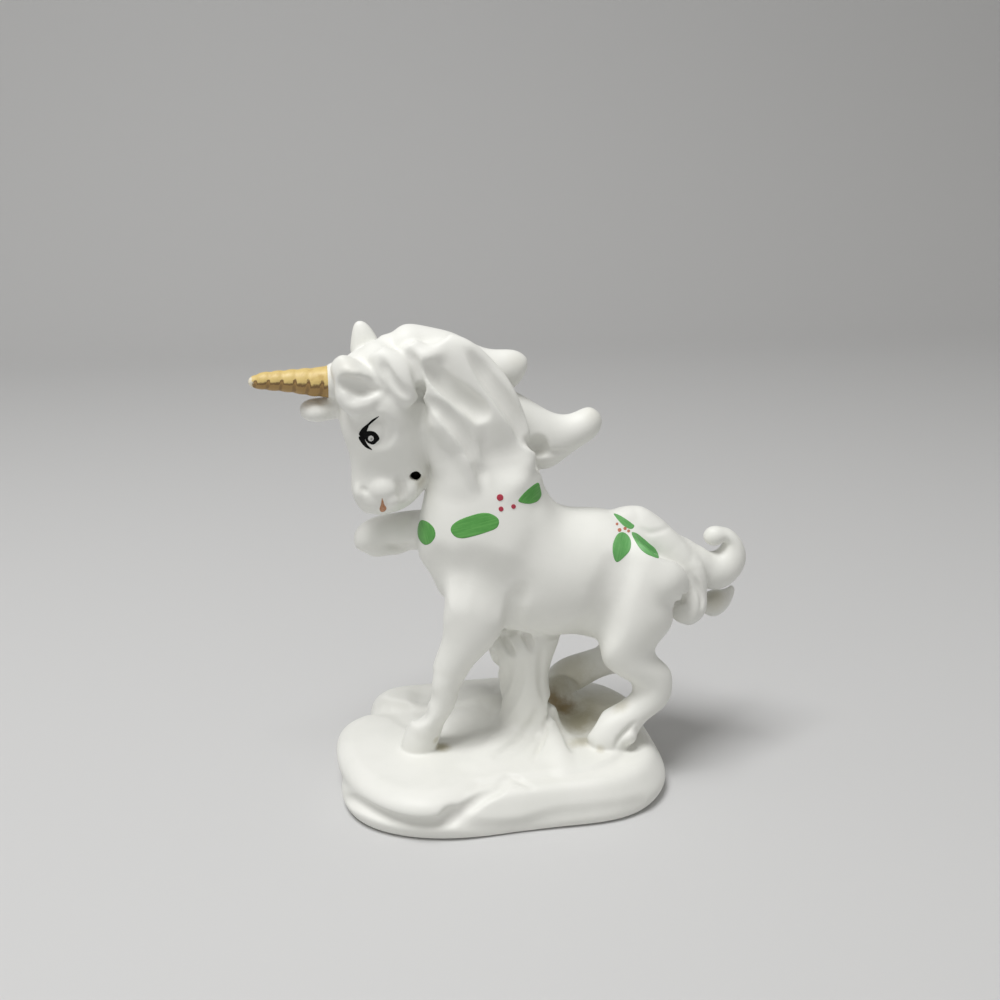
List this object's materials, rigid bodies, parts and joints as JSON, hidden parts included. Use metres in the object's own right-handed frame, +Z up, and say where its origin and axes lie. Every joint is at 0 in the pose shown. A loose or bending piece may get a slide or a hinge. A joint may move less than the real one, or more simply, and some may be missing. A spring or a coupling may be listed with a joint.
{
  "type": "unicorn figurine",
  "caption": "White bisque porcelain unicorn with a gold horn, one foreleg raised, a windblown mane and a curled tail, on a rocky base with a tree-stump prop.",
  "frame": {"origin": "centre of the base's flat underside, where the figurine rests on a shelf", "axes": "+X runs from the head to the tail, +Y to the far (right) flank, +Z up; the near (left) flank faces -Y"},
  "size_m": [0.106, 0.0535, 0.1014],
  "materials": {
    "bisque": "matte",
    "gold_enamel": "satin"
  },
  "bodies": {
    "root": {"base": "bisque", "tree_stump": "bisque", "body": "bisque", "head": "bisque", "horn_collar": "bisque", "horn": "gold_enamel", "near_ear": "bisque", "far_ear": "bisque", "forelock": "bisque", "crest_lock": "bisque", "mane_front_lock": "bisque", "mane_rear_lock": "bisque", "far_mane_lock": "bisque", "upper_flying_lock": "bisque", "lower_flying_lock": "bisque", "near_foreleg": "bisque", "raised_foreleg": "bisque", "near_hind_leg": "bisque", "far_hind_leg": "bisque", "tail_plume": "bisque", "tail_under_lock": "bisque", "tail_side_lock": "bisque"}
  },
  "joints": []
}
